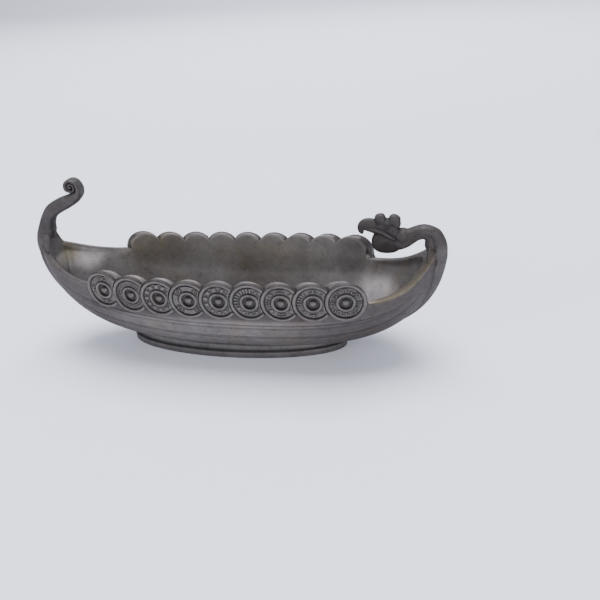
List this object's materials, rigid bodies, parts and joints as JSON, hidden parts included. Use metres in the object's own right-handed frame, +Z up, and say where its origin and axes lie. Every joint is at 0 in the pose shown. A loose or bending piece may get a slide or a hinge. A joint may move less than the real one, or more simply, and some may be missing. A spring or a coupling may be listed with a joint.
{
  "type": "ship-shaped sauce dish",
  "caption": "Cast pewter table dish in the form of a Viking longship on an oval foot, open on top to hold sauce, salt or relish.",
  "frame": {"origin": "on the table plane under the middle of the dish, half way between its two ends", "axes": "+X to the bow with the dragon's head, +Y to port, +Z up"},
  "size_m": [0.1491, 0.0446, 0.0633],
  "materials": {
    "pewter_hull": "aged cast pewter, dull and mottled, brown patina and burnished patches inside",
    "pewter_foot": "aged pewter, worn lighter on the band that meets the table",
    "pewter_carving": "aged cast pewter, dark in the recesses and rubbed bright on the ridges",
    "pewter_shield": "aged cast pewter relief, dark ground with rubbed rims and bosses"
  },
  "bodies": {
    "root": {"hull": "pewter_hull", "foot_ring": "pewter_foot", "dragon_prow": "pewter_carving", "stern_scroll": "pewter_carving", "shield_starboard_1": "pewter_shield", "shield_starboard_2": "pewter_shield", "shield_starboard_3": "pewter_shield", "shield_starboard_4": "pewter_shield", "shield_starboard_5": "pewter_shield", "shield_starboard_6": "pewter_shield", "shield_starboard_7": "pewter_shield", "shield_starboard_8": "pewter_shield", "shield_starboard_9": "pewter_shield", "shield_port_1": "pewter_shield", "shield_port_2": "pewter_shield", "shield_port_3": "pewter_shield", "shield_port_4": "pewter_shield", "shield_port_5": "pewter_shield", "shield_port_6": "pewter_shield", "shield_port_7": "pewter_shield", "shield_port_8": "pewter_shield", "shield_port_9": "pewter_shield"}
  },
  "joints": []
}
